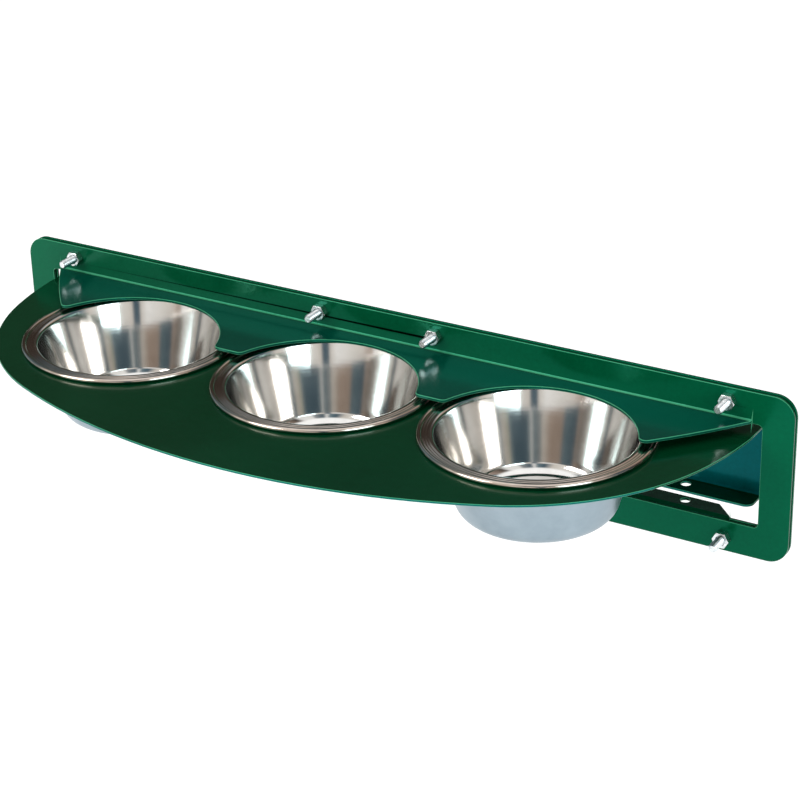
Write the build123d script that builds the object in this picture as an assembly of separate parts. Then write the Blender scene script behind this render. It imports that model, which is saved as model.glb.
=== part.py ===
from build123d import *
from math import atan2, cos, radians, sin, sqrt
import os

# Swivelling three-bowl feeder for an aviary or hutch panel.
# Frame: X along the panel, Y through it with the fixed guard on the -Y side, Z up.
# The origin is the middle of the frame, halfway through the panel that it clamps.

# ---- driving dimensions, mm ----
# frame plates
frame_width = 600.0
frame_height = 115.0
frame_corner_radius = 14.0
frame_sheet = 2.0
mesh_gap = 2.0
stile_width = 21.0
rail_height = 21.5
window_corner_radius = 3.0
edge_round = 0.5
bend_radius = 1.5
fold_land = 1.0

# rim guard, folded out of the front plate
guard_reach = 65.0
guard_end_gap = 7.0
guard_end_setback = 54.0
guard_end_bow = 2.0
scallop_radius = 70.0
scallop_forward = 17.0
guard_tip_round = 4.5

# pivot flanges, folded out of the rear plate
flange_reach = 13.8
flange_end_gap = 21.0
flange_chamfer = 13.4

# frame bolts
bolt_radius = 3.0
bolt_clearance = 0.25
bolt_edge = 9.0
bolt_end_inset = 44.0
bolt_middle_half_spacing = 45.0
bolt_stickout = 12.0
bolt_tip_chamfer = 0.9
thread_root_radius = 2.6
hex_across_flats = 10.0
hex_chamfer = 0.55
nut_height = 5.0
lock_nut_height = 6.0
head_height = 4.0
thread_play = 0.05
washer_radius = 6.0
washer_thickness = 1.6

# swing unit
swing_sheet = 1.5
swing_gap = 3.0
pivot_setback = 11.0
web_setback = 18.5
web_end_gap = 4.0
shelf_drop = 6.0
shelf_front_reach = 201.0
shelf_corner_radius = 160.0
shelf_end_angle = 14.54
swing_flange_rise = 10.5
swing_flange_reach = 17.0
swing_flange_end_gap = 7.0
swing_flange_corner = 6.0
lock_hole_radius = 3.25
lock_hole_inset = 56.0

# pivots
pivot_play = 0.05
washer_play = 0.1
upper_spacer_radius = 4.2
lower_spacer_radius = 6.0
pivot_stickout = 1.5

# bowls
bowl_count = 3
bowl_gap = 6.0
bowl_rim_radius = 75.5
bowl_bead_radius = 1.8
bowl_rim_slope = 0.7
bowl_mouth_radius = 64.5
bowl_base_radius = 50.0
bowl_depth = 56.0
bowl_wall = 0.8
bowl_base_round = 12.0
bowl_mouth_round = 2.2
bowl_hole_play = 1.6
rim_pivot_gap = 0.5

# ---- places worked out from them ----
front_face = -mesh_gap / 2 - frame_sheet
rear_face = mesh_gap / 2 + frame_sheet
window_half_width = frame_width / 2 - stile_width
window_top = frame_height / 2 - rail_height
window_bottom = -window_top
guard_top = window_top + frame_sheet
guard_half_width = window_half_width - guard_end_gap
flange_edge = rear_face + flange_reach
flange_half_width = window_half_width - flange_end_gap
bolt_height = frame_height / 2 - bolt_edge
bolt_end_x = frame_width / 2 - bolt_end_inset
lock_hole_x = window_half_width - lock_hole_inset

swing_radius = window_half_width - swing_gap
web_half_width = window_half_width - web_end_gap
shelf_top = window_top - shelf_drop
shelf_bottom = shelf_top - swing_sheet
swing_flange_bottom = window_bottom + swing_flange_rise
swing_flange_top = swing_flange_bottom + swing_sheet

bowl_centre_y = pivot_setback - upper_spacer_radius - rim_pivot_gap - bowl_rim_radius
bowl_pitch = 2 * bowl_rim_radius + bowl_gap
bowl_centres = [(i - (bowl_count - 1) / 2) * bowl_pitch for i in range(bowl_count)]
bowl_hole_radius = bowl_mouth_radius + bowl_wall + bowl_hole_play
pivot_bore_radius = bolt_radius + pivot_play
bolt_hole_radius = bolt_radius + bolt_clearance


# ---- general shapes ----
def cylinder_between(radius, x, y, low, high):
    """Upright cylinder from low to high."""
    return Pos(x, y, low) * extrude(Circle(radius), amount=high - low)


def ring_between(outer, inner, x, y, low, high):
    """Upright tube from low to high."""
    return cylinder_between(outer, x, y, low, high) - cylinder_between(inner, x, y, low, high)


def slab(sketch, low, high):
    """A plan sketch given thickness from low to high."""
    return Pos(0, 0, low) * extrude(sketch, amount=high - low)


def upright_slab(sketch, near, far):
    """A sketch in X and Z given thickness from near to far along Y."""
    return extrude(Plane(origin=(0, near, 0), x_dir=(1, 0, 0), z_dir=(0, -1, 0)) * sketch, amount=near - far)


def folded_strip(points, thickness, inner_radius, half_width):
    """A sheet of the given thickness folded along a middle line of (y, z) points."""
    middle_line = FilletPolyline(*points, radius=inner_radius + thickness / 2)
    return extrude(Plane.YZ * trace(middle_line, thickness), amount=half_width, both=True)


def hex_prism(height):
    """Hexagon with its corners turned off at both ends, standing on Z = 0."""
    corner_radius = hex_across_flats / sqrt(3)
    prism = extrude(RegularPolygon(corner_radius, 6), amount=height)
    turned = chamfer(Cylinder(corner_radius, height, align=(Align.CENTER, Align.CENTER, Align.MIN)).edges()
                     .filter_by(GeomType.CIRCLE), hex_chamfer / 2, hex_chamfer)
    return prism & turned


def nut(height, shank_radius):
    """Hexagon nut standing on Z = 0, on a shank of the given radius."""
    return hex_prism(height) - cylinder_between(shank_radius + thread_play, 0, 0, -1, height + 1)


def hex_bolt(grip_radius, grip, stickout):
    """Bolt with its head below Z = 0, a grip rising from it and a free threaded end above the nut."""
    thread = Cylinder(bolt_radius, stickout, align=(Align.CENTER, Align.CENTER, Align.MIN))
    tip = thread.edges().filter_by(GeomType.CIRCLE).sort_by(Axis.Z)[-1]
    shank = cylinder_between(grip_radius, 0, 0, 0, grip) + Pos(0, 0, grip) * chamfer(tip, bolt_tip_chamfer)
    return shank + Pos(0, 0, -head_height) * hex_prism(head_height)


# ---- frame ----
def frame_bolt_places():
    """X and Z of the bolts that clamp the two plates."""
    columns = (-bolt_end_x, -bolt_middle_half_spacing, bolt_middle_half_spacing, bolt_end_x)
    return [(x, z) for z in (bolt_height, -bolt_height) for x in columns]


def plate_outline():
    """Rounded plate with its bolt holes, before the window is cut."""
    sketch = RectangleRounded(frame_width, frame_height, frame_corner_radius)
    for x, z in frame_bolt_places():
        sketch -= Pos(x, z) * Circle(bolt_hole_radius)
    return sketch


def window_sketch():
    return RectangleRounded(2 * window_half_width, 2 * window_top, window_corner_radius)


def soften_plate(solid):
    """Round the plate's outer rim on both faces."""
    rim = [e for e in solid.edges() if is_plate_rim(e)]
    return fillet(rim, edge_round)


def is_plate_rim(edge):
    """True for the edges that run round the outside of a plate, in its faces."""
    box = edge.bounding_box()
    flat = box.size.Y < 0.01
    at_side = min(abs(box.max.X), abs(box.min.X)) > frame_width / 2 - frame_corner_radius - 0.1
    at_end = min(abs(box.max.Z), abs(box.min.Z)) > frame_height / 2 - frame_corner_radius - 0.1
    return flat and (at_side or at_end)


def guard_plan():
    """Plan of the guard: scalloped over the bowls, with bowed ends."""
    corner = Vector(guard_half_width, front_face)
    foot = Vector(guard_half_width - guard_end_setback, front_face - guard_reach)
    out = Vector(guard_reach, -guard_end_setback).normalized()
    right = ThreePointArc(corner, (corner + foot) / 2 + out * guard_end_bow, foot)
    left = mirror(right, Plane.YZ)
    back = Line(corner, Vector(-corner.X, corner.Y))
    front = Line(foot, Vector(-foot.X, foot.Y))
    plan = make_face(Curve() + [right, front, left, back])
    for x in bowl_centres:
        plan -= Pos(x, bowl_centre_y - scallop_forward) * Circle(scallop_radius)
    rounded = offset(offset(plan, -guard_tip_round), guard_tip_round)
    root = Pos(0, front_face - guard_tip_round) * Rectangle(2 * guard_half_width, 2 * guard_tip_round)
    return rounded + (plan & root)


def make_front_frame():
    """Front plate, with the scalloped guard folded forward from the window's top edge."""
    fold_top = guard_top + bend_radius + fold_land
    mouth = Pos(0, (fold_top + window_top) / 2) * Rectangle(2 * guard_half_width, fold_top - window_top + 2)
    mouth -= Pos(0, fold_top + 1) * Rectangle(2 * guard_half_width, 2)
    plate = upright_slab(plate_outline() - window_sketch() - mouth, front_face, front_face + frame_sheet)
    middle_y = front_face + frame_sheet / 2
    middle_z = window_top + frame_sheet / 2
    far = front_face - guard_reach - 5
    path = [(middle_y, fold_top), (middle_y, middle_z), (far, middle_z)]
    strip = folded_strip(path, frame_sheet, bend_radius, guard_half_width)
    fold_zone = Pos(0, front_face + frame_sheet / 2) * Rectangle(2 * guard_half_width, frame_sheet)
    guard = strip & slab(guard_plan() + fold_zone, window_top - 1, fold_top + 1)
    return soften_plate(plate) + guard


def flange_plan():
    """Plan of a pivot flange: tapered ends, a pivot hole and two lock holes."""
    near = rear_face - frame_sheet
    wide = flange_half_width - flange_chamfer
    outline = Polyline((-flange_half_width, near), (-flange_half_width, flange_edge - flange_chamfer),
                       (-wide, flange_edge), (wide, flange_edge),
                       (flange_half_width, flange_edge - flange_chamfer), (flange_half_width, near), close=True)
    return make_face(outline) - Pos(0, pivot_setback) * Circle(pivot_bore_radius)


def lock_holes():
    """The two lock holes, as a plan sketch."""
    hole = Circle(lock_hole_radius)
    return Pos(lock_hole_x, pivot_setback) * hole + Pos(-lock_hole_x, pivot_setback) * hole


def make_rear_frame():
    """Rear plate, with a pivot flange folded back from the window's top and bottom edges."""
    fold_reach = frame_sheet + bend_radius + fold_land
    mouth = Rectangle(2 * flange_half_width, 2 * (window_top + fold_reach))
    frame = soften_plate(upright_slab(plate_outline() - window_sketch() - mouth, rear_face - frame_sheet, rear_face))
    middle_y = rear_face - frame_sheet / 2
    far = flange_edge + 5
    for side in (1, -1):
        middle_z = side * (window_top + frame_sheet / 2)
        path = [(middle_y, side * (window_top + fold_reach)), (middle_y, middle_z), (far, middle_z)]
        strip = folded_strip(path, frame_sheet, bend_radius, flange_half_width)
        plan = flange_plan() - lock_holes() if side < 0 else flange_plan()
        low = min(side * (window_top - 1), side * (window_top + fold_reach + 1))
        frame += strip & slab(plan, low, low + fold_reach + 2)
    return frame


def make_frame_bolts():
    """The clamping bolts: heads behind the rear plate, threads standing out in front."""
    grip = rear_face - front_face + nut_height
    bolt = Rot(X=90) * hex_bolt(thread_root_radius, grip, bolt_stickout)
    return Compound(children=[Pos(x, rear_face, z) * bolt for x, z in frame_bolt_places()])


def make_frame_nuts():
    """One nut on each clamping bolt, against the front plate."""
    turned = Rot(X=90) * nut(nut_height, thread_root_radius)
    return Compound(children=[Pos(x, front_face, z) * turned for x, z in frame_bolt_places()])


# ---- swing unit ----
def shelf_arcs():
    """Centres of the corner arc and the front arc, and the front radius: each arc touches its neighbour."""
    angle = radians(shelf_end_angle)
    to_pivot = swing_radius - shelf_corner_radius
    corner = Vector(to_pivot * cos(angle), pivot_setback - to_pivot * sin(angle))
    ahead = corner.Y + shelf_front_reach
    front_radius = (corner.X ** 2 + ahead ** 2 - shelf_corner_radius ** 2) / (2 * (ahead - shelf_corner_radius))
    return corner, Vector(0, front_radius - shelf_front_reach), front_radius


def shelf_plan():
    """Plan of the shelf: it follows the swing circle at its ends and bows out in front."""
    corner, front_centre, front_radius = shelf_arcs()
    pivot = Vector(0, pivot_setback)
    end_touch = pivot + (corner - pivot).normalized() * swing_radius
    front_touch = front_centre + (corner - front_centre).normalized() * front_radius
    half = (end_touch - corner).normalized() + (front_touch - corner).normalized()
    corner_middle = corner + half.normalized() * shelf_corner_radius
    back = web_setback + swing_sheet
    end = Vector(web_half_width, back)
    side_start = Vector(web_half_width, pivot_setback - sqrt(swing_radius ** 2 - web_half_width ** 2))
    start_angle = atan2(side_start.Y - pivot_setback, side_start.X)
    touch_angle = atan2(end_touch.Y - pivot_setback, end_touch.X)
    middle_angle = (start_angle + touch_angle) / 2
    side_middle = pivot + Vector(cos(middle_angle), sin(middle_angle)) * swing_radius
    right = [Line(end, side_start), ThreePointArc(side_start, side_middle, end_touch),
             ThreePointArc(end_touch, corner_middle, front_touch)]
    front_point = Vector(0, -shelf_front_reach)
    front_left = Vector(-front_touch.X, front_touch.Y)
    left = [mirror(edge, Plane.YZ) for edge in right]
    front = ThreePointArc(front_touch, front_point, front_left)
    back_line = Line(end, Vector(-end.X, end.Y))
    plan = make_face(Curve() + right + left + [front, back_line])
    for x in bowl_centres:
        plan -= Pos(x, bowl_centre_y) * Circle(bowl_hole_radius)
    return plan - Pos(0, pivot_setback) * Circle(pivot_bore_radius)


def swing_flange_plan():
    """Plan of the web's lower flange, with rounded front corners."""
    half = window_half_width - swing_flange_end_gap
    back = web_setback + swing_sheet
    front = back - swing_sheet - swing_flange_reach
    plan = Pos(0, (front + back) / 2) * Rectangle(2 * half, back - front)
    plan = fillet(plan.vertices().group_by(Axis.Y)[0], swing_flange_corner)
    return plan - Pos(0, pivot_setback) * Circle(pivot_bore_radius) - lock_holes()


def make_swing_shelf():
    """Shelf, upright web and lower flange folded from one sheet."""
    middle_y = web_setback + swing_sheet / 2
    top_z = shelf_top - swing_sheet / 2
    low_z = swing_flange_bottom + swing_sheet / 2
    split = (shelf_top + swing_flange_bottom) / 2
    upper_path = [(-shelf_front_reach - 5, top_z), (middle_y, top_z), (middle_y, split)]
    lower_path = [(middle_y, split), (middle_y, low_z), (-5, low_z)]
    upper = folded_strip(upper_path, swing_sheet, bend_radius, window_half_width)
    upper &= slab(shelf_plan(), split, shelf_top)
    lower = folded_strip(lower_path, swing_sheet, bend_radius, web_half_width)
    web = Pos(0, web_setback + swing_sheet / 2) * Rectangle(2 * web_half_width, swing_sheet)
    lower_web = lower & slab(web, swing_flange_top + bend_radius, split)
    lower_fold = lower & slab(swing_flange_plan(), swing_flange_bottom, swing_flange_top + bend_radius)
    return upper + lower_web + lower_fold


# ---- pivots ----
def make_upper_pivot():
    """Upper pivot: bolt down through the top flange, spacer, shelf, washer and lock nut."""
    washer_top = shelf_bottom - washer_play
    nut_top = washer_top - washer_thickness
    grip = guard_top - nut_top + lock_nut_height
    bolt = Pos(0, pivot_setback, guard_top) * Rot(X=180) * hex_bolt(bolt_radius, grip, pivot_stickout)
    spacer = ring_between(upper_spacer_radius, bolt_radius + thread_play, 0, pivot_setback, shelf_top, window_top)
    washer = ring_between(washer_radius, bolt_radius + thread_play, 0, pivot_setback, nut_top, washer_top)
    lock_nut = Pos(0, pivot_setback, nut_top - lock_nut_height) * nut(lock_nut_height, bolt_radius)
    return {"upper_pivot_bolt": bolt, "upper_pivot_spacer": spacer,
            "upper_pivot_washer": washer, "upper_pivot_lock_nut": lock_nut}


def make_lower_pivot():
    """Lower pivot: bolt up through the bottom flange, spacer, swing flange, washer and lock nut."""
    washer_low = swing_flange_top + washer_play
    nut_low = washer_low + washer_thickness
    bottom = window_bottom - frame_sheet
    grip = nut_low + lock_nut_height - bottom
    bolt = Pos(0, pivot_setback, bottom) * hex_bolt(bolt_radius, grip, pivot_stickout)
    spacer = ring_between(lower_spacer_radius, bolt_radius + thread_play, 0, pivot_setback,
                          window_bottom, swing_flange_bottom)
    washer = ring_between(washer_radius, bolt_radius + thread_play, 0, pivot_setback, washer_low, nut_low)
    lock_nut = Pos(0, pivot_setback, nut_low) * nut(lock_nut_height, bolt_radius)
    return {"lower_pivot_bolt": bolt, "lower_pivot_spacer": spacer,
            "lower_pivot_washer": washer, "lower_pivot_lock_nut": lock_nut}


# ---- bowls ----
def make_bowl():
    """Spun steel bowl on the Z axis, with its rolled rim resting on the shelf."""
    bead_z = shelf_top + bowl_bead_radius
    bead_x = bowl_rim_radius - bowl_bead_radius
    mouth_z = bead_z + bowl_rim_slope
    base_z = shelf_top + 2 * bowl_bead_radius - bowl_depth + bowl_wall / 2
    points = [(0, base_z), (bowl_base_radius - bowl_wall / 2, base_z),
              (bowl_mouth_radius + bowl_wall / 2, mouth_z), (bead_x, bead_z)]
    wall_line = FilletPolyline(*points, radius=[bowl_base_round, bowl_mouth_round])
    section = trace(wall_line, bowl_wall) + Pos(bead_x, bead_z) * Circle(bowl_bead_radius)
    return revolve(Plane.XZ * section, Axis.Z)


def main():
    nodes = {
        "front_frame": make_front_frame(),
        "rear_frame": make_rear_frame(),
        "frame_bolts": make_frame_bolts(),
        "frame_nuts": make_frame_nuts(),
        "swing_shelf": make_swing_shelf(),
    }
    nodes.update(make_upper_pivot())
    nodes.update(make_lower_pivot())
    bowl = make_bowl()
    for name, x in zip(("left", "middle", "right"), bowl_centres):
        nodes["bowl_" + name] = Pos(x, bowl_centre_y, 0) * bowl
    os.makedirs("parts", exist_ok=True)
    for name, shape in nodes.items():
        export_step(shape, "parts/" + name + ".step")


main()
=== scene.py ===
from math import atan2, cos, pi, radians, sin

import bmesh
import bpy
from mathutils import Matrix, Vector


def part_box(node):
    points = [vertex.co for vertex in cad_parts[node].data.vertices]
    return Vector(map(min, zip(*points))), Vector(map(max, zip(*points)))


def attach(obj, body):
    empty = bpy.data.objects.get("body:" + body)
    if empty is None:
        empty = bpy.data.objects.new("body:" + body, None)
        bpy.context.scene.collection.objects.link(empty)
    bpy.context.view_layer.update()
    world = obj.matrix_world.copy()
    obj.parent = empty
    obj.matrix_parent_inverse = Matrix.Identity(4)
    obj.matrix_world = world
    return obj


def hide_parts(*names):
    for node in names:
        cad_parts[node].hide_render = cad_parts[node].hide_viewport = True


# A swivelling three-bowl feeder: green powder-coated sheet steel, spun stainless bowls, zinc hardware.
# Every length in this file is in metres, in the part's own frame.

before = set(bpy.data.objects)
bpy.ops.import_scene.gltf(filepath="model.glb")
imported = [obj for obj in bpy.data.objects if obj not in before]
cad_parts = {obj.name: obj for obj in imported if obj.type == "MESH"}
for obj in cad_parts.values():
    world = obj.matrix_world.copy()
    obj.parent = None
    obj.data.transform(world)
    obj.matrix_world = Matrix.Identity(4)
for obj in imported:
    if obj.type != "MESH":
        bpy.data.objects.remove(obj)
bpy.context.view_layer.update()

# ---- sizes shared with the CAD part ----
FRONT_FACE = -0.003
REAR_FACE = 0.003
PIVOT_Y = 0.011
SHELF_TOP = 0.030
BOLT_X = (-0.256, -0.045, 0.045, 0.256)
BOLT_Z = (0.0485, -0.0485)
BOLT_RADIUS = 0.003
BOLT_STICKOUT = 0.012
HEX_FLATS = 0.010
HEAD_HEIGHT = 0.004
NUT_HEIGHT = 0.005
BOWL_PITCH = 0.157
BOWL_Y = -0.0692
BOWL_RIM_RADIUS = 0.0755
BOWL_MOUTH_RADIUS = 0.0645
BOWL_BASE_RADIUS = 0.050
BOWL_DEPTH = 0.056
BOWL_WALL = 0.0008
BOWL_BEAD = 0.0018

# ---- fine detail that only this model has ----
WELD_DISTANCE = 3e-6
FLAT_WITHIN = radians(0.4)
SHEET_ROUND = 0.00042
SHELF_ROUND = SHEET_ROUND * 0.85
HARDWARE_ROUND = 0.00018
GUARD_START = -0.0045
GUARD_FOLD_END = -0.006
FLANGE_START = 0.0045
BOWL_FLOOR_BEND = 0.012
BOWL_RIM_BEND = 0.0022
BOWL_RIM_RISE = 0.0007
BOWL_RIM_RIPPLE = (0.0, 0.00012, 0.0, -0.00014)
THREAD_PITCH = 0.001
THREAD_DEPTH = 0.00042
BOLT_TIP = 0.0009
HEX_CHAMFER = 0.00015
HEX_CORNER_FALL = 0.55
BORE_CHAMFER = 0.0004
BORE_PLAY = 0.00005


# ---- materials ----
class Nodes:
    """A short way to add and join shader nodes."""

    def __init__(self, tree):
        self.tree = tree
        self.tree.nodes.clear()

    def add(self, kind, **settings):
        node = self.tree.nodes.new("ShaderNode" + kind)
        for key, value in settings.items():
            setattr(node, key, value)
        return node

    def link(self, source, target):
        self.tree.links.new(source, target)

    def math(self, operation, first, second=None):
        node = self.add("Math", operation=operation)
        for socket, value in zip(node.inputs, (first, second)):
            if isinstance(value, bpy.types.NodeSocket):
                self.link(value, socket)
            elif value is not None:
                socket.default_value = value
        return node.outputs[0]

    def blend(self, first, first_share, second, second_share):
        """A weighted sum of two values."""
        return self.math("ADD", self.math("MULTIPLY", first, first_share),
                         self.math("MULTIPLY", second, second_share))

    def noise(self, vector, scale, detail=3.0, roughness=0.5):
        node = self.add("TexNoise")
        node.inputs["Scale"].default_value = scale
        node.inputs["Detail"].default_value = detail
        node.inputs["Roughness"].default_value = roughness
        self.link(vector, node.inputs["Vector"])
        return node.outputs["Fac"]

    def ramp(self, factor, stops):
        """A colour ramp through (position, colour) stops."""
        node = self.add("ValToRGB")
        ramp = node.color_ramp
        while len(ramp.elements) > 1:
            ramp.elements.remove(ramp.elements[-1])
        ramp.elements[0].position = stops[0][0]
        ramp.elements[0].color = (*stops[0][1], 1)
        for position, colour in stops[1:]:
            ramp.elements.new(position).color = (*colour, 1)
        self.link(factor, node.inputs["Fac"])
        return node.outputs["Color"]

    def spread(self, factor, low, high):
        """A 0 to 1 value stretched to run from low to high."""
        node = self.add("MapRange")
        node.inputs["To Min"].default_value = low
        node.inputs["To Max"].default_value = high
        self.link(factor, node.inputs["Value"])
        return node.outputs["Result"]

    def bump(self, height, strength, distance, normal=None):
        node = self.add("Bump")
        node.inputs["Strength"].default_value = strength
        node.inputs["Distance"].default_value = distance
        self.link(height, node.inputs["Height"])
        if normal:
            self.link(normal, node.inputs["Normal"])
        return node.outputs["Normal"]


def new_material(name):
    """An empty material, its node helper and its wired-up surface shader."""
    material = bpy.data.materials.new(name)
    material.use_nodes = True
    nodes = Nodes(material.node_tree)
    shader = nodes.add("BsdfPrincipled")
    output = nodes.add("OutputMaterial")
    nodes.link(shader.outputs["BSDF"], output.inputs["Surface"])
    return material, nodes, shader


def powder_coat(name, dark, light, gloss=0.16, tint=(0.0, 0.7, 0.45)):
    """Smooth glossy powder coat: cloudy colour with fine specks, faint orange peel and slow waves."""
    material, nodes, shader = new_material(name)
    place = nodes.add("TexCoord").outputs["Object"]
    cloud = nodes.noise(place, scale=9.0, detail=4.0, roughness=0.55)
    specks = nodes.noise(place, scale=420.0, detail=2.0)
    peel = nodes.noise(place, scale=900.0, detail=2.0, roughness=0.6)
    waves = nodes.noise(place, scale=160.0, detail=2.0)
    mixed = nodes.blend(cloud, 0.72, specks, 0.28)
    nodes.link(nodes.ramp(mixed, [(0.36, dark), (0.64, light)]), shader.inputs["Base Color"])
    nodes.link(nodes.spread(cloud, gloss - 0.03, gloss + 0.05), shader.inputs["Roughness"])
    slow = nodes.bump(waves, strength=0.10, distance=0.0006)
    nodes.link(nodes.bump(peel, 0.05, 0.00025, slow), shader.inputs["Normal"])
    shader.inputs["Specular Tint"].default_value = (*tint, 1)
    return material


def turned_place(nodes):
    """The object's own coordinates, and a vector of distance from its axis and height only."""
    place = nodes.add("TexCoord").outputs["Object"]
    parts = nodes.add("SeparateXYZ")
    nodes.link(place, parts.inputs[0])
    squares = [nodes.math("MULTIPLY", parts.outputs[i], parts.outputs[i]) for i in (0, 1)]
    across = nodes.math("SQRT", nodes.math("ADD", *squares))
    turned = nodes.add("CombineXYZ")
    nodes.link(across, turned.inputs[0])
    nodes.link(parts.outputs[2], turned.inputs[2])
    return place, turned.outputs[0]


def stainless(name, dark, light, rough, ring_strength, smear=0.05):
    """Spun stainless steel: turning lines round the axis, soft smears and slight waviness."""
    material, nodes, shader = new_material(name)
    place, turned = turned_place(nodes)
    rings = nodes.noise(turned, scale=2600.0, detail=3.0, roughness=0.6)
    bands = nodes.noise(turned, scale=240.0, detail=2.0)
    smears = nodes.noise(place, scale=38.0, detail=4.0, roughness=0.6)
    nodes.link(nodes.ramp(smears, [(0.3, dark), (0.7, light)]), shader.inputs["Base Color"])
    uneven = nodes.blend(rings, 0.5, smears, 0.5)
    nodes.link(nodes.spread(uneven, rough - smear, rough + smear), shader.inputs["Roughness"])
    waves = nodes.bump(bands, ring_strength, distance=0.0004)
    nodes.link(nodes.bump(rings, ring_strength, 0.00006, waves), shader.inputs["Normal"])
    shader.inputs["Metallic"].default_value = 1.0
    return material


def zinc(name, dark, light, rough):
    """Bright zinc plate: small cloudy patches and fine scratches."""
    material, nodes, shader = new_material(name)
    place = nodes.add("TexCoord").outputs["Object"]
    patches = nodes.noise(place, scale=520.0, detail=4.0, roughness=0.6)
    grain = nodes.noise(place, scale=3000.0, detail=2.0)
    nodes.link(nodes.ramp(patches, [(0.32, dark), (0.66, light)]), shader.inputs["Base Color"])
    nodes.link(nodes.spread(grain, rough - 0.08, rough + 0.08), shader.inputs["Roughness"])
    nodes.link(nodes.bump(grain, strength=0.15, distance=0.00004), shader.inputs["Normal"])
    shader.inputs["Metallic"].default_value = 1.0
    return material


PLATE_COAT = powder_coat("plate_powder_coat", (0.0, 0.052, 0.019), (0.0, 0.070, 0.027))
# The same coat as the plate, darker and bluer for the guard: painted shade.
GUARD_SHADED_COAT = powder_coat("guard_shaded_coat", (0.0, 0.043, 0.026), (0.0, 0.060, 0.038), tint=(0.0, 0.6, 0.6))
# The same coat at about half the brightness for the shelf: painted shade under the guard and bowls.
SHELF_SHADED_COAT = powder_coat("shelf_shaded_coat", (0.0, 0.026, 0.008), (0.0, 0.036, 0.012),
                         tint=(0.0, 0.35, 0.22))
# A lighter, bluer copy of the coat for the shelf's upright faces: painted light.
WEB_LIT_COAT = powder_coat("web_lit_coat", (0.0, 0.075, 0.075), (0.0, 0.100, 0.105), tint=(0.0, 0.6, 0.7))
# A much lighter green for the rounded edges and the guard's fold: painted highlight, not a different coat.
EDGE_HIGHLIGHT_COAT = powder_coat("edge_highlight_coat", (0.03, 0.20, 0.10), (0.06, 0.28, 0.15), gloss=0.22)
# A darker copy of the plate's coat for the rear flanges: painted shade.
REAR_FLANGE_SHADED_COAT = powder_coat("rear_flange_shaded_coat", (0.003, 0.034, 0.017), (0.005, 0.048, 0.024))
MIRROR_STEEL = stainless("mirror_steel", (0.66, 0.65, 0.63), (0.78, 0.77, 0.75), 0.11, 0.035, smear=0.06)
# Brown-tinted copy of the bowl steel for the rolled rim: painted reflection of the brown surroundings.
RIM_REFLECTION_STEEL = stainless("rim_reflection_steel", (0.50, 0.42, 0.36), (0.64, 0.56, 0.50), 0.12, 0.12)
# Darker, bluer copy of the bowl steel for the outsides: painted shade and bluish reflection.
SHADED_SATIN_STEEL = stainless("shaded_satin_steel", (0.27, 0.335, 0.385), (0.35, 0.42, 0.475), 0.36, 0.10)
ZINC_THREAD = zinc("zinc_thread", (0.55, 0.58, 0.60), (0.85, 0.87, 0.88), 0.26)
ZINC_HEX = zinc("zinc_hex", (0.50, 0.53, 0.55), (0.80, 0.83, 0.84), 0.24)
STEEL_WASHER = zinc("steel_washer", (0.38, 0.40, 0.42), (0.66, 0.68, 0.70), 0.34)


# ---- meshes ----
def mesh_object(name, points, faces, materials, face_materials=None):
    """A new object in the scene from points, faces, materials and each face's material number."""
    mesh = bpy.data.meshes.new(name)
    mesh.from_pydata([tuple(p) for p in points], [], faces)
    for material in materials:
        mesh.materials.append(material)
    if face_materials:
        mesh.polygons.foreach_set("material_index", face_materials)
    mesh.validate()
    thing = bpy.data.objects.new(name, mesh)
    bpy.context.scene.collection.objects.link(thing)
    return thing


def smooth(thing, sharp_angle):
    """Smooth shading, with edges over the angle kept crisp."""
    thing.data.polygons.foreach_set("use_smooth", [True] * len(thing.data.polygons))
    thing.data.set_sharp_from_angle(angle=radians(sharp_angle))
    thing.modifiers.new("flat_faces", "WEIGHTED_NORMAL").keep_sharp = True


def rounded_copy(node, name, materials, round_by, segments=3, sharp=35):
    """A copy of a CAD node's mesh with every crisp edge rounded; the rounds take the second material."""
    body = bmesh.new()
    body.from_mesh(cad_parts[node].data)
    bmesh.ops.remove_doubles(body, verts=body.verts, dist=WELD_DISTANCE)
    bmesh.ops.dissolve_limit(body, angle_limit=FLAT_WITHIN, verts=body.verts, edges=body.edges)
    crisp = [e for e in body.edges if len(e.link_faces) == 2 and e.calc_face_angle(0) > radians(sharp)]
    for face in body.faces:
        face.material_index = 0
    bmesh.ops.bevel(body, geom=crisp, offset=round_by, segments=segments, profile=0.5, affect="EDGES",
                    clamp_overlap=False, loop_slide=False, material=1)
    bmesh.ops.recalc_face_normals(body, faces=body.faces)
    body.verts.index_update()
    points = [v.co.copy() for v in body.verts]
    faces = [[v.index for v in f.verts] for f in body.faces]
    indices = [f.material_index for f in body.faces]
    body.free()
    thing = mesh_object(name, points, faces, materials, indices)
    smooth(thing, 40)
    return thing


def paint(thing, chosen, number):
    """Give the chosen ones of the faces that still have the first material another of its materials."""
    for face in thing.data.polygons:
        if face.material_index == 0 and chosen(face):
            face.material_index = number


def place_piece(thing, body, slot, *nodes):
    """Let a piece ride on its body in place of its CAD nodes; slot is not used."""
    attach(thing, body)
    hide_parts(*nodes)


# ---- painted sheets ----
# The guard's fold faces, which take the lighter edge coat as a painted highlight along the fold.
def on_guard_fold_highlight(face):
    return face.normal.y < -0.3 and face.normal.z > 0.3 and face.center.y > GUARD_FOLD_END


# On each sheet the rounded edges take the second, much lighter coat: painted highlight along every edge.
front = rounded_copy("front_frame", "front_plate_and_guard", [PLATE_COAT, EDGE_HIGHLIGHT_COAT, GUARD_SHADED_COAT], SHEET_ROUND)
paint(front, on_guard_fold_highlight, 1)
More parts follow.
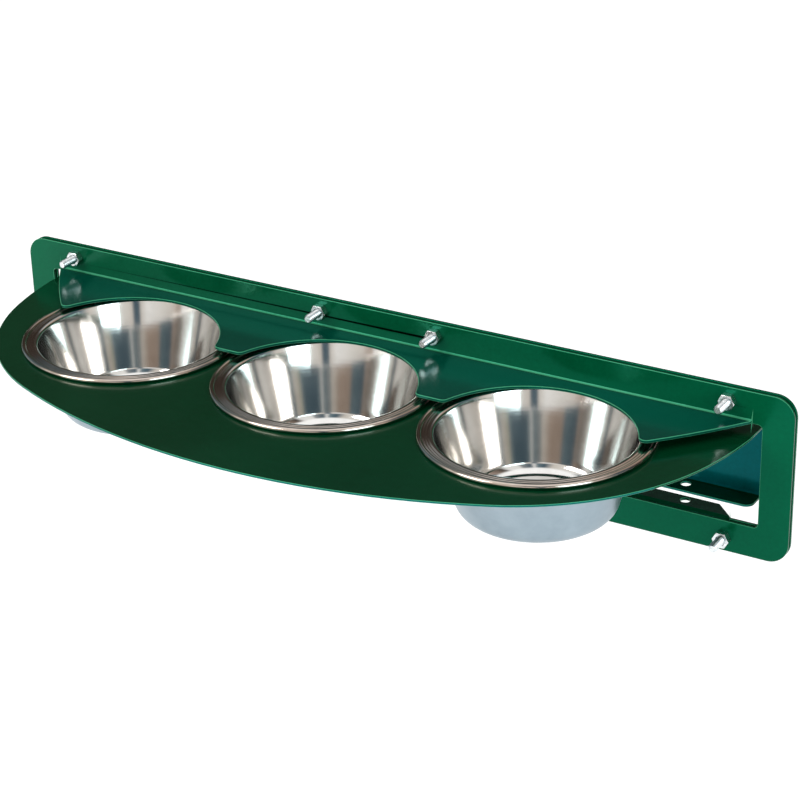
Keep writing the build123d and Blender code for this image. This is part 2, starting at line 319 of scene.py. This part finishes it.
# The guard past the fold takes the darker, bluer copy of the plate's coat: painted shade.
paint(front, lambda face: face.center.y < GUARD_START, 2)
place_piece(front, "frame", "green_powder_coat", "front_frame")
rear = rounded_copy("rear_frame", "rear_plate_and_flanges", [PLATE_COAT, EDGE_HIGHLIGHT_COAT, REAR_FLANGE_SHADED_COAT], SHEET_ROUND)
# The flanges behind the plate take the darker copy: painted shade.
paint(rear, lambda face: face.center.y > FLANGE_START, 2)
place_piece(rear, "frame", "green_powder_coat", "rear_frame")
# The shelf takes the darker copy of the plate's coat: painted shade.
shelf = rounded_copy("swing_shelf", "folded_shelf", [SHELF_SHADED_COAT, EDGE_HIGHLIGHT_COAT, WEB_LIT_COAT], SHELF_ROUND)
# The shelf's upright faces take the lighter, bluer copy: painted light.
paint(shelf, lambda face: abs(face.normal.y) > 0.5, 2)
place_piece(shelf, "swing", "green_powder_coat", "swing_shelf")


# ---- bowls ----
def arc_corner(before, corner, after, radius, steps):
    """Points of the arc that rounds a corner of a middle line."""
    to_before = (before - corner).normalized()
    to_after = (after - corner).normalized()
    half = to_before.angle(to_after) / 2
    reach = radius / abs(sin(half) / cos(half))
    centre = corner + (to_before + to_after).normalized() * (radius / sin(half))
    start, end = corner + to_before * reach, corner + to_after * reach
    first = atan2(start.y - centre.y, start.x - centre.x)
    sweep = atan2(end.y - centre.y, end.x - centre.x) - first
    sweep = (sweep + pi) % (2 * pi) - pi
    angles = [first + sweep * i / steps for i in range(steps + 1)]
    return [centre + Vector((cos(angle), sin(angle))) * radius for angle in angles]


def between(start, end, steps):
    """The points that split a line into steps, without its ends."""
    return [start.lerp(end, i / steps) for i in range(1, steps)]


def bowl_profile():
    """Half section of a bowl as (radius, height, material): inside, rolled rim, then outside."""
    bead_x = BOWL_RIM_RADIUS - BOWL_BEAD
    bead_z = SHELF_TOP + BOWL_BEAD
    base_z = SHELF_TOP + 2 * BOWL_BEAD - BOWL_DEPTH + BOWL_WALL / 2
    floor_middle = Vector((0.0, base_z))
    corner = Vector((BOWL_BASE_RADIUS - BOWL_WALL / 2, base_z))
    mouth = Vector((BOWL_MOUTH_RADIUS + BOWL_WALL / 2, bead_z + BOWL_RIM_RISE))
    bead = Vector((bead_x, bead_z))
    low_arc = arc_corner(floor_middle, corner, mouth, BOWL_FLOOR_BEND, 12)
    high_arc = arc_corner(corner, mouth, bead, BOWL_RIM_BEND, 8)
    middle = [floor_middle] + between(floor_middle, low_arc[0], 8) + low_arc
    middle += between(low_arc[-1], high_arc[0], 22) + high_arc
    rim_start = len(middle)
    # the flat of the rim stops short of the bead's centre, where the roll takes over
    middle += between(high_arc[-1], bead, 16)[:13]
    inner, outer = [], []
    for i, point in enumerate(middle):
        ahead = middle[min(i + 1, len(middle) - 1)]
        behind = middle[max(i - 1, 0)]
        along = (ahead - behind).normalized()
        side = Vector((-along.y, along.x)) * (BOWL_WALL / 2)
        inner.append(point + side)
        outer.append(point - side)
    inner[0].x = outer[0].x = 0.0
    for i in range(rim_start + 1, len(inner) - 1):
        inner[i].y += BOWL_RIM_RIPPLE[(i - rim_start) % len(BOWL_RIM_RIPPLE)]
    start = atan2(inner[-1].y - bead_z, inner[-1].x - bead_x)
    stop = radians(-150)
    roll = []
    for i in range(21):
        angle = start + (stop - start) * i / 20
        roll.append(bead + Vector((cos(angle), sin(angle))) * BOWL_BEAD)
    rows = [(p.x, p.y, 0 if i < rim_start else 1) for i, p in enumerate(inner)]
    rows += [(p.x, p.y, 1) for p in roll]
    rows += [(p.x, p.y, 2) for p in reversed(outer)]
    return rows


def turned_mesh(name, rows, materials, around=180):
    """A surface of revolution from (radius, height, material) rows, starting and ending on the axis."""
    turns = [(cos(2 * pi * k / around), sin(2 * pi * k / around)) for k in range(around)]
    points, faces, indices = [(0, 0, rows[0][1])], [], []
    for radius, height, _ in rows[1:-1]:
        points += [(radius * x, radius * y, height) for x, y in turns]
    points.append((0, 0, rows[-1][1]))
    last = len(points) - 1
    count = len(rows) - 2
    for k in range(around):
        n = (k + 1) % around
        faces.append((0, 1 + k, 1 + n))
        indices.append(rows[1][2])
        for j in range(count - 1):
            a, b = 1 + j * around, 1 + (j + 1) * around
            faces.append((a + k, b + k, b + n, a + n))
            indices.append(rows[j + 2][2])
        a = 1 + (count - 1) * around
        faces.append((a + n, a + k, last))
        indices.append(rows[-1][2])
    thing = mesh_object(name, points, faces, materials, indices)
    thing.data.polygons.foreach_set("use_smooth", [True] * len(thing.data.polygons))
    return thing


# The rim rows take the brown-tinted steel: painted reflection.
bowl_rows = bowl_profile()
# The outside rows take the darker, bluer steel: painted shade and bluish reflection.
for side, x in (("left", -BOWL_PITCH), ("middle", 0.0), ("right", BOWL_PITCH)):
    bowl = turned_mesh("spun_bowl_" + side, bowl_rows, [MIRROR_STEEL, RIM_REFLECTION_STEEL, SHADED_SATIN_STEEL])
    bowl.location = (x, BOWL_Y, 0)
    place_piece(bowl, "bowl_" + side, "stainless_bowl", "bowl_" + side)


# ---- hardware ----
def threaded_shank(length, around=28, per_pitch=8):
    """Points and faces of a shank standing on Z = 0: a helix groove that fades out over the chamfered tip."""
    rows = int(length / THREAD_PITCH * per_pitch)
    points = []
    for j in range(rows + 1):
        z = length * j / rows
        limit = BOLT_RADIUS - max(0.0, z - (length - BOLT_TIP))
        for k in range(around):
            turn = k / around
            wave = abs(((z / THREAD_PITCH - turn) % 1.0) * 2 - 1)
            # the wave is stretched and cut off, which leaves a narrow crest and a narrow root
            groove = THREAD_DEPTH * min(1.0, max(0.0, wave * 1.25 - 0.12))
            radius = min(BOLT_RADIUS - groove, limit)
            points.append((radius * cos(2 * pi * turn), radius * sin(2 * pi * turn), z))
    faces = []
    for j in range(rows):
        a, b = j * around, (j + 1) * around
        for k in range(around):
            n = (k + 1) % around
            faces.append((a + k, a + n, b + n, b + k))
    faces.append(tuple(reversed(range(around))))
    faces.append(tuple(rows * around + k for k in range(around)))
    return points, faces


def hex_part(height, bore=0.0, around=72):
    """Points and faces of a hexagon with turned-off corners, standing on Z = 0, bored if bore is over 0."""
    angles = [2 * pi * k / around + pi / 6 for k in range(around)]
    flat_radius = HEX_FLATS / 2 - HEX_CHAMFER

    def ring(radius, z):
        return [(radius * cos(angle), radius * sin(angle), z) for angle in angles]

    def side_ring(at_top):
        points = []
        for angle in angles:
            side = HEX_FLATS / 2 / cos((angle % (pi / 3)) - pi / 6)
            fall = (side - flat_radius) * HEX_CORNER_FALL
            points.append((side * cos(angle), side * sin(angle), height - fall if at_top else fall))
        return points

    rings = [ring(flat_radius, 0), side_ring(False), side_ring(True), ring(flat_radius, height)]
    if bore > 0:
        wide = bore + BORE_CHAMFER
        rings = [ring(bore, BORE_CHAMFER), ring(wide, 0), *rings,
                 ring(wide, height), ring(bore, height - BORE_CHAMFER)]
    points = [p for ring_points in rings for p in ring_points]
    faces = []
    count = len(rings)
    for j in range(count if bore > 0 else count - 1):
        a, b = j * around, ((j + 1) % count) * around
        for k in range(around):
            n = (k + 1) % around
            faces.append((a + k, a + n, b + n, b + k))
    if bore == 0:
        faces.append(tuple(reversed(range(around))))
        faces.append(tuple((count - 1) * around + k for k in range(around)))
    return points, faces


def bolt_parts(place, toward, length):
    """Head and threaded shank, seated with the shank's start at place and pointing toward."""
    turn = Vector((0, 0, 1)).rotation_difference(Vector(toward)).to_matrix().to_4x4()
    seat = Matrix.Translation(place) @ turn
    head_seat = seat @ Matrix.Translation((0, 0, -HEAD_HEIGHT))
    return [(*hex_part(HEAD_HEIGHT), head_seat, 1), (*threaded_shank(length), seat, 0)]


def joined(name, parts, materials):
    """One object from (points, faces, matrix, material number) parts."""
    points, faces, indices = [], [], []
    for part_points, part_faces, matrix, number in parts:
        start = len(points)
        points += [matrix @ Vector(p) for p in part_points]
        faces += [tuple(start + i for i in face) for face in part_faces]
        indices += [number] * len(part_faces)
    thing = mesh_object(name, points, faces, materials, indices)
    smooth(thing, 32)
    return thing


bolt_length = REAR_FACE - FRONT_FACE + NUT_HEIGHT + BOLT_STICKOUT
nut_turn = Matrix.Rotation(radians(90), 4, "X")
bolts = []
nuts = []
for z in BOLT_Z:
    for x in BOLT_X:
        bolts += bolt_parts((x, REAR_FACE, z), (0, -1, 0), bolt_length)
        nut_seat = Matrix.Translation((x, FRONT_FACE, z)) @ nut_turn
        nuts.append((*hex_part(NUT_HEIGHT, BOLT_RADIUS + BORE_PLAY), nut_seat, 0))
place_piece(joined("clamp_bolts", bolts, [ZINC_THREAD, ZINC_HEX]), "frame", "zinc_fastener", "frame_bolts")
place_piece(joined("clamp_nuts", nuts, [ZINC_HEX]), "frame", "zinc_fastener", "frame_nuts")

for level in ("upper", "lower"):
    low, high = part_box(level + "_pivot_bolt")
    shank_length = high.z - low.z - HEAD_HEIGHT
    # the upper bolt hangs from its head, and the lower one stands on it
    if level == "upper":
        screw = bolt_parts((0, PIVOT_Y, high.z - HEAD_HEIGHT), (0, 0, -1), shank_length)
    else:
        screw = bolt_parts((0, PIVOT_Y, low.z + HEAD_HEIGHT), (0, 0, 1), shank_length)
    place_piece(joined(level + "_pivot_screw", screw, [ZINC_THREAD, ZINC_HEX]), "frame", "zinc_fastener",
                level + "_pivot_bolt")
    for kind, material in (("spacer", STEEL_WASHER), ("washer", STEEL_WASHER), ("lock_nut", ZINC_HEX)):
        node = level + "_pivot_" + kind
        piece = rounded_copy(node, node + "_turned", [material, material], HARDWARE_ROUND, segments=2)
        place_piece(piece, "frame", "zinc_fastener", node)


# ---- floor, light and camera ----
FLOOR_HALF = 9.0
FLOOR_LEVEL = -0.34
LIGHT_TARGET = Vector((0, -0.05, 0))
CAMERA_PLACE = (0.75900, -1.20507, 0.66054)
CAMERA_AZIMUTH = radians(31.70)
CAMERA_ELEVATION = radians(25.22)
CAMERA_ROLL = radians(1.44)
CAMERA_LENS = 103.45

# ---- colours of the studio's cards and gaps ----
WHITE = (0.78, 0.77, 0.75)
CREAM = (0.60, 0.56, 0.51)
GREY = (0.24, 0.26, 0.27)
BLUE = (0.06, 0.10, 0.13)
SLATE = (0.13, 0.19, 0.22)
ROSE = (0.36, 0.28, 0.23)
BROWN = (0.040, 0.031, 0.025)
OLIVE = (0.40, 0.38, 0.30)


def make_floor():
    signs = ((-1, -1), (1, -1), (1, 1), (-1, 1))
    corners = [(sx * FLOOR_HALF, sy * FLOOR_HALF, FLOOR_LEVEL) for sx, sy in signs]
    floor = mesh_object("floor", corners, [(0, 1, 2, 3)], [])
    material, nodes, shader = new_material("pale_floor")
    grain = nodes.noise(nodes.add("TexCoord").outputs["Object"], scale=3.0, detail=2.0)
    tones = [(0.3, (0.80, 0.80, 0.80)), (0.7, (0.84, 0.84, 0.84))]
    nodes.link(nodes.ramp(grain, tones), shader.inputs["Base Color"])
    shader.inputs["Roughness"].default_value = 0.9
    shader.inputs["Specular IOR Level"].default_value = 0.0
    shader.inputs["Emission Color"].default_value = (1, 1, 1, 1)
    shader.inputs["Emission Strength"].default_value = 0.45
    floor.data.materials.append(material)


def make_world():
    """A plain pale surround, and round it the cards and dark gaps of a studio for the steel to mirror."""
    world = bpy.data.worlds.new("studio")
    bpy.context.scene.world = world
    world.use_nodes = True
    nodes = Nodes(world.node_tree)
    parts = nodes.add("SeparateXYZ")
    nodes.link(nodes.add("TexCoord").outputs["Generated"], parts.inputs[0])
    angle = nodes.math("ARCTAN2", parts.outputs[1], parts.outputs[0])
    turn = nodes.math("ADD", nodes.math("DIVIDE", angle, 2 * pi), 0.5)
    # turn: 0.25 is straight ahead of the guard (-Y), 0.5 is +X, 0.75 is behind the panel (+Y), 0 is -X
    low = nodes.ramp(turn, [
        (0.000, SLATE), (0.050, GREY), (0.085, WHITE), (0.170, WHITE), (0.185, ROSE), (0.215, CREAM),
        (0.300, WHITE), (0.322, CREAM), (0.328, BLUE), (0.346, BLUE), (0.352, CREAM), (0.440, WHITE),
        (0.500, CREAM), (0.530, SLATE), (0.600, BROWN), (0.920, BROWN), (0.960, SLATE),
    ])
    high = nodes.ramp(turn, [
        (0.000, SLATE), (0.014, SLATE), (0.020, OLIVE), (0.066, CREAM), (0.074, BLUE), (0.096, BLUE),
        (0.104, WHITE), (0.255, CREAM), (0.280, GREY), (0.292, BLUE), (0.325, SLATE), (0.340, WHITE),
        (0.356, BLUE), (0.396, GREY), (0.410, WHITE), (0.468, WHITE), (0.486, BROWN), (0.552, ROSE),
        (0.566, BLUE), (0.648, SLATE), (0.662, ROSE), (0.740, ROSE), (0.790, CREAM), (0.806, GREY),
        (0.850, SLATE), (0.868, WHITE), (0.880, SLATE), (0.905, BLUE), (0.985, BLUE),
    ])

    def by_height(start, end, below, above):
        """One colour below the start height, another above the end height, and a soft change between."""
        rise = nodes.add("MapRange", interpolation_type="SMOOTHSTEP")
        rise.inputs["From Min"].default_value = start
        rise.inputs["From Max"].default_value = end
        nodes.link(parts.outputs[2], rise.inputs["Value"])
        mix = nodes.add("Mix", data_type="RGBA")
        nodes.link(rise.outputs["Result"], mix.inputs["Factor"])
        nodes.link(below, mix.inputs[6])
        if isinstance(above, tuple):
            mix.inputs[7].default_value = (*above, 1)
        else:
            nodes.link(above, mix.inputs[7])
        return mix.outputs[2]

    walls = by_height(0.45, 0.53, low, high)
    studio = nodes.add("Background")
    nodes.link(by_height(0.78, 0.90, walls, (1.0, 1.0, 1.0)), studio.inputs["Color"])
    studio.inputs["Strength"].default_value = 1.25
    plain = nodes.add("Background")
    plain.inputs["Color"].default_value = (1, 1, 1, 1)
    seen = nodes.add("MixShader")
    nodes.link(nodes.add("LightPath").outputs["Is Camera Ray"], seen.inputs[0])
    nodes.link(studio.outputs[0], seen.inputs[1])
    nodes.link(plain.outputs[0], seen.inputs[2])
    nodes.link(seen.outputs[0], nodes.add("OutputWorld").inputs["Surface"])


def area_light(name, place, side, power, colour):
    """A square soft light that faces the feeder."""
    light = bpy.data.lights.new(name, "AREA")
    light.shape = "RECTANGLE"
    light.size = side
    light.size_y = side
    light.energy = power
    light.color = colour
    thing = bpy.data.objects.new(name, light)
    bpy.context.scene.collection.objects.link(thing)
    thing.location = place
    thing.rotation_mode = "QUATERNION"
    thing.rotation_quaternion = (LIGHT_TARGET - Vector(place)).to_track_quat("-Z", "Y")


def make_camera():
    """A long lens from the front right and above, turned by a small roll."""
    camera = bpy.data.objects.new("camera", bpy.data.cameras.new("camera"))
    bpy.context.scene.collection.objects.link(camera)
    level = cos(CAMERA_ELEVATION)
    back = Vector((sin(CAMERA_AZIMUTH) * level, -cos(CAMERA_AZIMUTH) * level, sin(CAMERA_ELEVATION)))
    right = (-back).cross(Vector((0, 0, 1))).normalized()
    up = back.cross(right)
    rolled_right = right * cos(CAMERA_ROLL) - up * sin(CAMERA_ROLL)
    rolled_up = up * cos(CAMERA_ROLL) + right * sin(CAMERA_ROLL)
    facing = Matrix((rolled_right, rolled_up, back)).transposed().to_4x4()
    camera.matrix_world = Matrix.Translation(CAMERA_PLACE) @ facing
    camera.data.lens = CAMERA_LENS
    camera.data.sensor_width = 36.0
    bpy.context.scene.camera = camera


make_floor()
make_world()
area_light("key_softbox", (-0.9, -1.6, 1.0), 1.0, 22, (1.0, 0.98, 0.95))
area_light("fill_softbox", (1.7, -0.9, 0.5), 0.9, 13, (0.70, 0.95, 1.0))
make_camera()
bpy.context.scene.view_settings.view_transform = "Standard"
